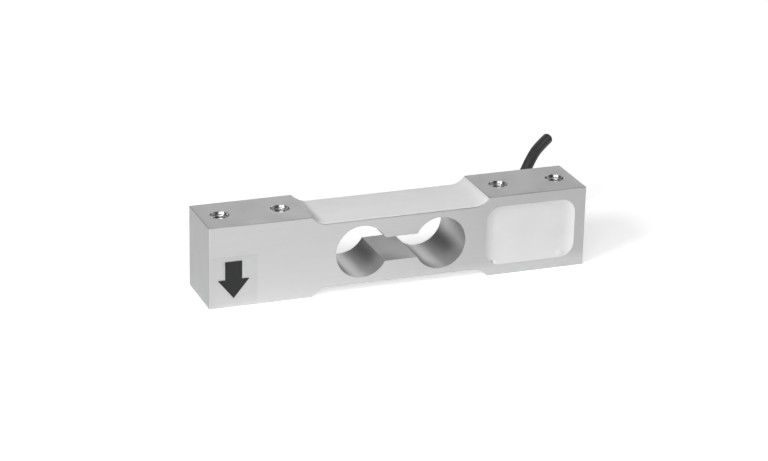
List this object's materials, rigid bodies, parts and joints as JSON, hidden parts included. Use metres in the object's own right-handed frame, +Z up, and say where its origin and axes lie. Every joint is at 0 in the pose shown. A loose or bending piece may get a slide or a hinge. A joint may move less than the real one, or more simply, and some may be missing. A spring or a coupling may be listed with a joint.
{
  "type": "single point load cell",
  "caption": "Single point bending-beam load cell: milled aluminium bar with a binocular cut-out, silicone-covered gauges, a potted wiring pocket, tapped holes and a short cable.",
  "frame": {"origin": "centre of the beam in plan, on the plane of the two bottom seats", "axes": "+X along the beam from the load end to the fixed end, +Z up, wiring pocket on the -Y face"},
  "size_m": [0.1404, 0.0539, 0.0281],
  "materials": {
    "beam_aluminium": "finely milled, satin",
    "white_silicone": "soft satin, cast",
    "clear_label_film": "clear, satin",
    "black_print": "matt print",
    "amber_gauge_film": "smooth",
    "gauge_foil": "rolled",
    "tin_solder": "bright",
    "enamelled_copper": "enamelled",
    "board_laminate": "lacquered",
    "pad_copper": "plated",
    "resistor_ceramic": "matt",
    "black_core": "smooth",
    "white_core": "smooth",
    "green_core": "smooth",
    "red_core": "smooth",
    "black_jacket": "smooth satin",
    "black_bush_rubber": "matt"
  },
  "bodies": {
    "root": {"spring_body": "beam_aluminium", "top_gauge_coating": "white_silicone", "bottom_gauge_coating": "white_silicone", "pocket_potting": "white_silicone", "arrow_label": "clear_label_film", "load_arrow": "black_print", "gauge_film_top_load": "amber_gauge_film", "gauge_film_top_fixed": "amber_gauge_film", "gauge_film_bottom_load": "amber_gauge_film", "gauge_film_bottom_fixed": "amber_gauge_film", "gauge_foil_top_load": "gauge_foil", "gauge_foil_top_fixed": "gauge_foil", "gauge_foil_bottom_load": "gauge_foil", "gauge_foil_bottom_fixed": "gauge_foil", "top_gauge_solder": "tin_solder", "bottom_gauge_solder": "tin_solder", "top_gauge_leads": "enamelled_copper", "bottom_gauge_leads": "enamelled_copper", "terminal_board": "board_laminate", "terminal_pads": "pad_copper", "board_solder": "tin_solder", "zero_trim_resistor": "resistor_ceramic", "span_trim_resistor": "resistor_ceramic", "core_black": "black_core", "core_white": "white_core", "core_green": "green_core", "core_red": "red_core", "cable": "black_jacket", "cable_bush": "black_bush_rubber"}
  },
  "joints": []
}
